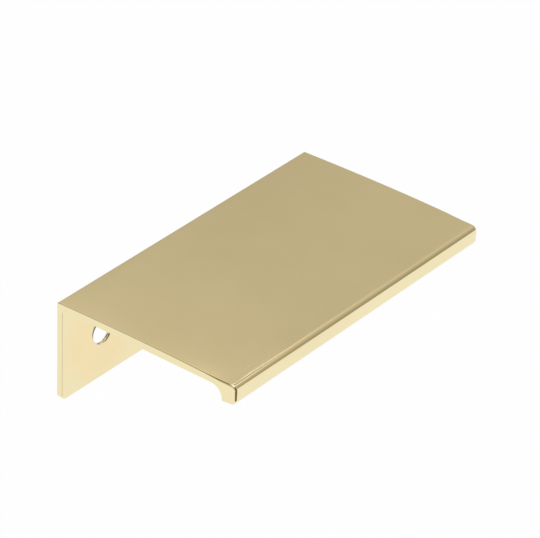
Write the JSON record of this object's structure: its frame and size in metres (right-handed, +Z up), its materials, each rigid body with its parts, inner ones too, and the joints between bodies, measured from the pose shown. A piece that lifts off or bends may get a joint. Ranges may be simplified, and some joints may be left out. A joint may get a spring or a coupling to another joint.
{
  "type": "profile handle",
  "caption": "Hooked metal edge pull: a flat plate over the panel's edge, a screwed flange behind it and a short turned-down finger lip in front.",
  "frame": {"origin": "midway between the screw holes, on the face of the flange that bears on the back of the panel", "axes": "+X along the length, -Y out to the lip (the way the screws drive), +Z up to the plate"},
  "size_m": [0.0694, 0.04, 0.0205],
  "materials": {
    "polished_brass": "mirror polished, pale gold"
  },
  "bodies": {
    "root": {"profile_handle": "polished_brass"}
  },
  "joints": []
}
